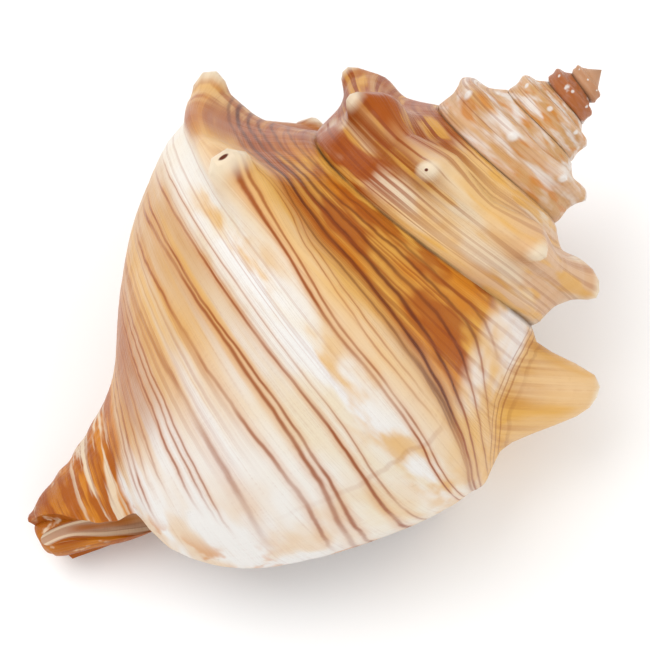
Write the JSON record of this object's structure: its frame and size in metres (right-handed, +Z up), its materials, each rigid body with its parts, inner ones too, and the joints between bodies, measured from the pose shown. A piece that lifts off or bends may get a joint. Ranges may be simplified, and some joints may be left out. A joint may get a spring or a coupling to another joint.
{
  "type": "conch shell",
  "caption": "Sea-snail shell with a coiled pointed spire, blunt shoulder spines, a flared lip and an open canal, lying on its aperture with its patterned back up.",
  "frame": {"origin": "on the surface it lies on, at the centre of the bounding box's bottom face", "axes": "+X along the length toward the apex, +Y to the side away from the lip, +Z up through the back"},
  "size_m": [0.0862, 0.0582, 0.0474],
  "materials": {
    "shell": "glazed cream and tan with brown spiral lines"
  },
  "bodies": {
    "root": {"shell": "shell"}
  },
  "joints": []
}
